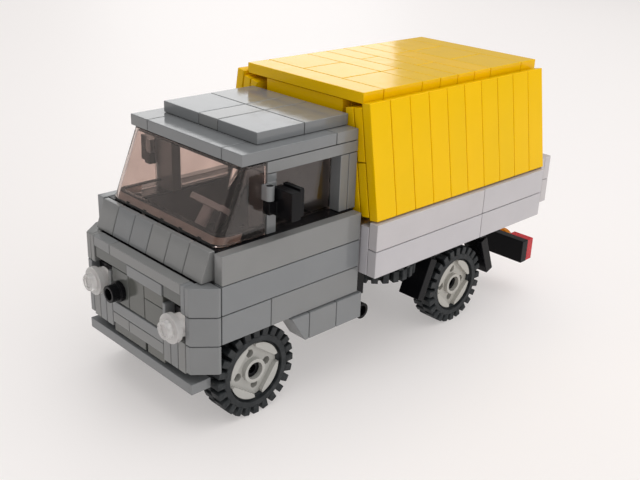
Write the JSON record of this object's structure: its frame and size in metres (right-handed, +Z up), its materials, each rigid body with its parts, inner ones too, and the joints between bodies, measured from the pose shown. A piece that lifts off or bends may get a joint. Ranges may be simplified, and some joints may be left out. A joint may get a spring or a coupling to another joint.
{
  "type": "toy delivery truck",
  "caption": "Toy cab-over delivery truck built from building bricks, with a drop tailgate, a cargo bed under a leaning canopy, turning wheels and folding mirrors.",
  "frame": {"origin": "on the ground under the middle of the bounding box", "axes": "+X to the truck's left, -Y the way the truck faces, +Z up"},
  "size_m": [0.0672, 0.1476, 0.0815],
  "materials": {
    "dark_grey_plastic": "glossy moulded plastic",
    "faded_grey_plastic": "glossy moulded plastic, warmer grey",
    "light_grey_plastic": "glossy moulded plastic",
    "yellow_plastic": "glossy moulded plastic",
    "black_plastic": "glossy moulded plastic",
    "rubber": "matt",
    "wheel_grey_plastic": "satin moulded plastic",
    "smoke_plastic": "clear brown tint",
    "clear_plastic": "clear",
    "red_clear_plastic": "clear red",
    "amber_clear_plastic": "clear orange"
  },
  "bodies": {
    "truck": {"axle_carriers": "black_plastic", "bed_floor": "light_grey_plastic", "bed_side_left": "light_grey_plastic", "bed_side_right": "light_grey_plastic", "bumper": "dark_grey_plastic", "cab_floor": "black_plastic", "cab_rear_wall": "dark_grey_plastic", "cab_roof_block": "dark_grey_plastic", "cab_roof_slab": "dark_grey_plastic", "cab_side_left": "dark_grey_plastic", "cab_side_right": "dark_grey_plastic", "canopy_front_wall": "yellow_plastic", "canopy_rear_beam": "yellow_plastic", "canopy_roof_plate": "yellow_plastic", "canopy_roof_tiles": "yellow_plastic", "canopy_side_left": "yellow_plastic", "canopy_side_right": "yellow_plastic", "chassis_spine": "black_plastic", "corner_slopes": "dark_grey_plastic", "door_panes": "smoke_plastic", "exhaust": "black_plastic", "grille_dark": "faded_grey_plastic", "grille_light": "dark_grey_plastic", "grille_pillars": "dark_grey_plastic", "grille_pin": "black_plastic", "headboard": "light_grey_plastic", "headlights": "clear_plastic", "hood_slopes": "dark_grey_plastic", "lamp_sockets": "black_plastic", "mudflap_bars": "black_plastic", "nose_core": "black_plastic", "rear_bar": "black_plastic", "rear_lamps_amber": "amber_clear_plastic", "rear_lamps_red": "red_clear_plastic", "rim_spare": "wheel_grey_plastic", "seats": "black_plastic", "sills": "dark_grey_plastic", "tailgate_hinge": "light_grey_plastic", "tyre_spare": "rubber", "wheel_pins": "black_plastic", "window_frame_left": "dark_grey_plastic", "window_frame_right": "dark_grey_plastic", "window_ledges": "black_plastic", "windscreen": "smoke_plastic"},
    "wheel_front_left": {"rim_front_left": "wheel_grey_plastic", "tyre_front_left": "rubber"},
    "wheel_front_right": {"rim_front_right": "wheel_grey_plastic", "tyre_front_right": "rubber"},
    "wheel_rear_left": {"rim_rear_left": "wheel_grey_plastic", "tyre_rear_left": "rubber"},
    "wheel_rear_right": {"rim_rear_right": "wheel_grey_plastic", "tyre_rear_right": "rubber"},
    "tailgate": {"tailgate": "light_grey_plastic"},
    "mirror_left": {"mirror_left": "black_plastic"},
    "mirror_right": {"mirror_right": "black_plastic"},
    "steering_wheel": {"steering_wheel": "light_grey_plastic"},
    "mudflap_front_left": {"mudflap_front_left": "black_plastic"},
    "mudflap_front_right": {"mudflap_front_right": "black_plastic"},
    "mudflap_rear_left": {"mudflap_rear_left": "black_plastic"},
    "mudflap_rear_right": {"mudflap_rear_right": "black_plastic"}
  },
  "joints": [
    {"name": "wheel_front_left_spin", "type": "hinge", "parent": "truck", "child": "wheel_front_left", "pos_m": [0.0229, -0.05075, 0.0128], "axis": [1, 0, 0], "continuous": true},
    {"name": "wheel_front_right_spin", "type": "hinge", "parent": "truck", "child": "wheel_front_right", "pos_m": [-0.0229, -0.05075, 0.0128], "axis": [1, 0, 0], "continuous": true},
    {"name": "wheel_rear_left_spin", "type": "hinge", "parent": "truck", "child": "wheel_rear_left", "pos_m": [0.0229, 0.03285, 0.0128], "axis": [1, 0, 0], "continuous": true},
    {"name": "wheel_rear_right_spin", "type": "hinge", "parent": "truck", "child": "wheel_rear_right", "pos_m": [-0.0229, 0.03285, 0.0128], "axis": [1, 0, 0], "continuous": true},
    {"name": "tailgate_drop", "type": "hinge", "parent": "truck", "child": "tailgate", "pos_m": [0, 0.06715, 0.033], "axis": [-1, 0, 0], "range_deg": [0, 95]},
    {"name": "mirror_left_fold", "type": "hinge", "parent": "truck", "child": "mirror_left", "pos_m": [0.0258, -0.04665, 0.05925], "axis": [0, 0, 1], "range_deg": [-60, 6]},
    {"name": "mirror_right_fold", "type": "hinge", "parent": "truck", "child": "mirror_right", "pos_m": [-0.0258, -0.04665, 0.05925], "axis": [0, 0, 1], "range_deg": [-6, 60]},
    {"name": "steering_spin", "type": "hinge", "parent": "truck", "child": "steering_wheel", "pos_m": [0.0094, -0.05555, 0.0498], "axis": [0, 0.5736, 0.8192], "continuous": true},
    {"name": "mudflap_front_left_swing", "type": "hinge", "parent": "truck", "child": "mudflap_front_left", "pos_m": [0.0237, 0.02015, 0.0285], "axis": [1, 0, 0], "range_deg": [0, 10]},
    {"name": "mudflap_front_right_swing", "type": "hinge", "parent": "truck", "child": "mudflap_front_right", "pos_m": [-0.0237, 0.02015, 0.0285], "axis": [1, 0, 0], "range_deg": [-30, 10]},
    {"name": "mudflap_rear_left_swing", "type": "hinge", "parent": "truck", "child": "mudflap_rear_left", "pos_m": [0.0237, 0.04355, 0.0285], "axis": [1, 0, 0], "range_deg": [-5, 30]},
    {"name": "mudflap_rear_right_swing", "type": "hinge", "parent": "truck", "child": "mudflap_rear_right", "pos_m": [-0.0237, 0.04355, 0.0285], "axis": [1, 0, 0], "range_deg": [-5, 30]}
  ]
}
